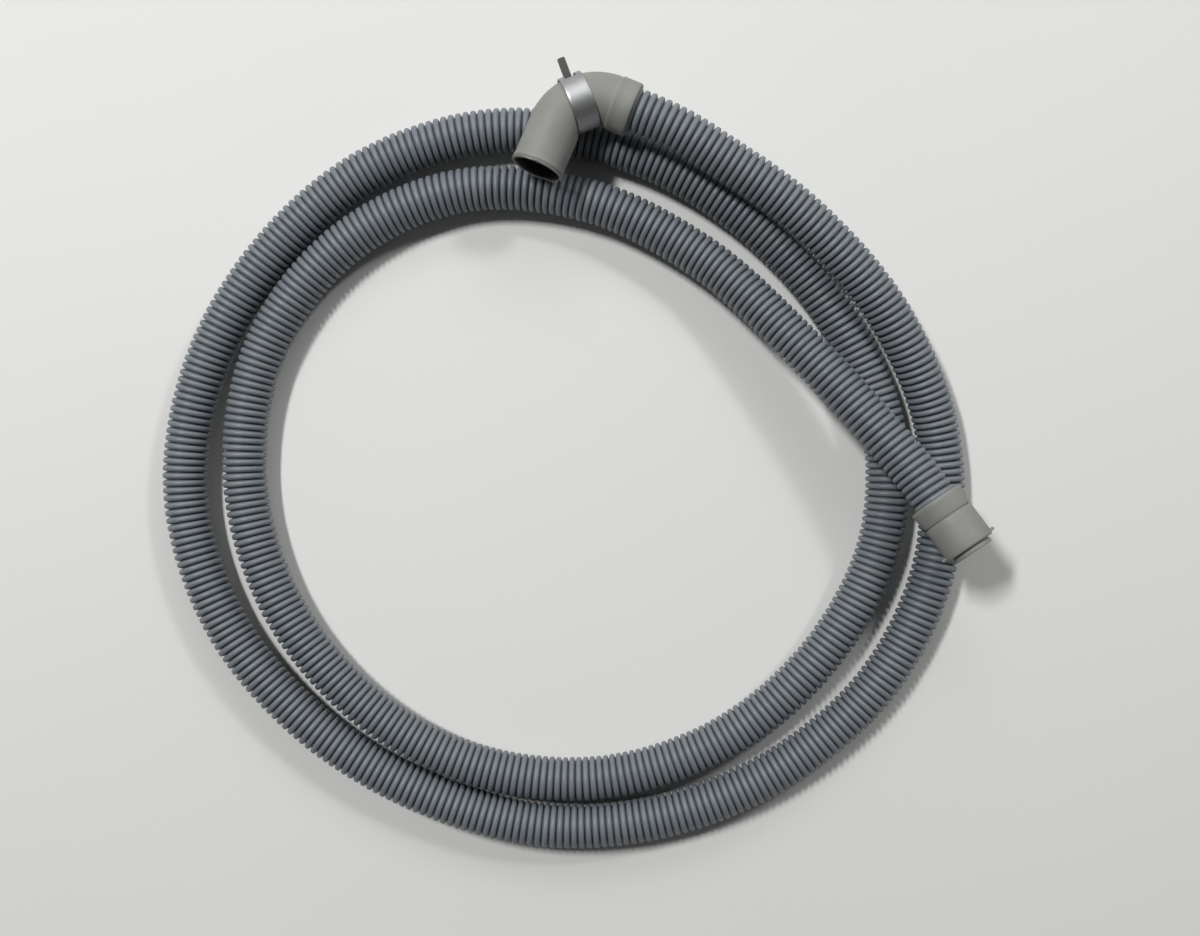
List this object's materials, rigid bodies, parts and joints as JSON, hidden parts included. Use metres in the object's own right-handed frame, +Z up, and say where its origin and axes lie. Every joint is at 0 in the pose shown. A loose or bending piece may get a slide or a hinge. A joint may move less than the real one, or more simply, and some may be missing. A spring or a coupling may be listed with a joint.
{
  "type": "washing machine drain hose",
  "caption": "Corrugated washing machine drain hose lying in a coil, with a moulded right-angle elbow that carries a spring clamp, and a straight moulded cuff at its far end.",
  "frame": {"origin": "under the middle of the coil's bounding box, on the surface that the hose lies on", "axes": "+Z up, away from the surface; +X towards the side of the coil where the straight cuff lies; +Y towards the side where the elbow lies"},
  "size_m": [0.4459, 0.4269, 0.0658],
  "materials": {
    "hose_plastic": "satin, ribbed",
    "grey_rubber": "matt, moulded",
    "spring_steel": "satin"
  },
  "bodies": {
    "root": {"drain_hose": "hose_plastic", "elbow_fitting": "grey_rubber", "straight_cuff": "grey_rubber", "spring_clamp": "spring_steel"}
  },
  "joints": []
}
